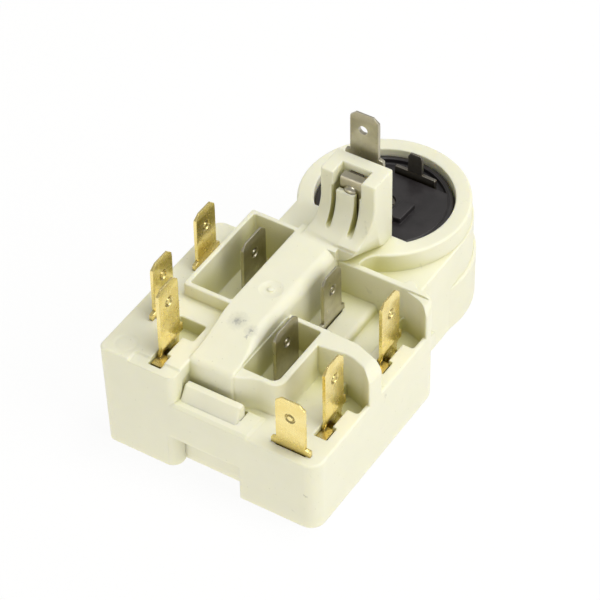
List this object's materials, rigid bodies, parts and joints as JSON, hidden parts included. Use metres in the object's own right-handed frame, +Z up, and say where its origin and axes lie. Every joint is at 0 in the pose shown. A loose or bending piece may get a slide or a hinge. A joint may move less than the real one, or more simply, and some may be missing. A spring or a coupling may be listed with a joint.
{
  "type": "compressor start relay",
  "caption": "PTC start relay of a refrigerator compressor: an ivory block of ledges and wells with upright blade terminals and a round pocket that holds an overload protector.",
  "frame": {"origin": "under the middle of the bounding box, on the plane of the underside", "axes": "+X along the front face to its right end, +Y from the front face to the round pocket, +Z up, out of the blades' ledges"},
  "size_m": [0.047, 0.0818, 0.0504],
  "materials": {
    "housing_pbt": "moulded, satin",
    "cover_pbt": "moulded, satin",
    "tab_brass": "stamped, bright",
    "tab_nickel": "nickel plated, dull",
    "bus_brass": "stamped",
    "bus_nickel": "nickel plated",
    "pill_ceramic": "fired ceramic with metallised faces",
    "spring_steel": "spring temper",
    "phenolic": "moulded, satin",
    "tab_dark": "plated, dark",
    "bimetal": "rolled",
    "screw_steel": "turned",
    "contact_silver": "silver faced",
    "heater_alloy": "drawn wire"
  },
  "bodies": {
    "root": {"housing": "housing_pbt", "base_cover": "cover_pbt", "rear_left_tab": "tab_brass", "middle_left_tab": "tab_brass", "front_left_tab": "tab_brass", "left_well_tab": "tab_nickel", "rear_bay_tab": "tab_nickel", "middle_well_tab": "tab_nickel", "rear_right_tab": "tab_brass", "middle_right_tab": "tab_brass", "front_tab": "tab_brass", "left_bus_bar": "bus_brass", "middle_bus_bar": "bus_nickel", "right_bus_bar": "bus_brass", "run_pin_socket": "bus_brass", "start_pin_socket": "bus_nickel", "ptc_pill": "pill_ceramic", "left_pill_spring": "spring_steel", "right_pill_spring": "spring_steel", "tower_clip": "tab_nickel", "tower_link": "bus_brass", "protector_case": "phenolic", "protector_base": "phenolic", "protector_line_tab": "tab_nickel", "protector_rear_tab": "tab_dark", "common_pin_socket": "bus_brass", "bimetal_disc": "bimetal", "calibration_screw": "screw_steel", "line_contact": "contact_silver", "heater_contact": "contact_silver", "disc_contacts": "contact_silver", "heater_wire": "heater_alloy"}
  },
  "joints": []
}
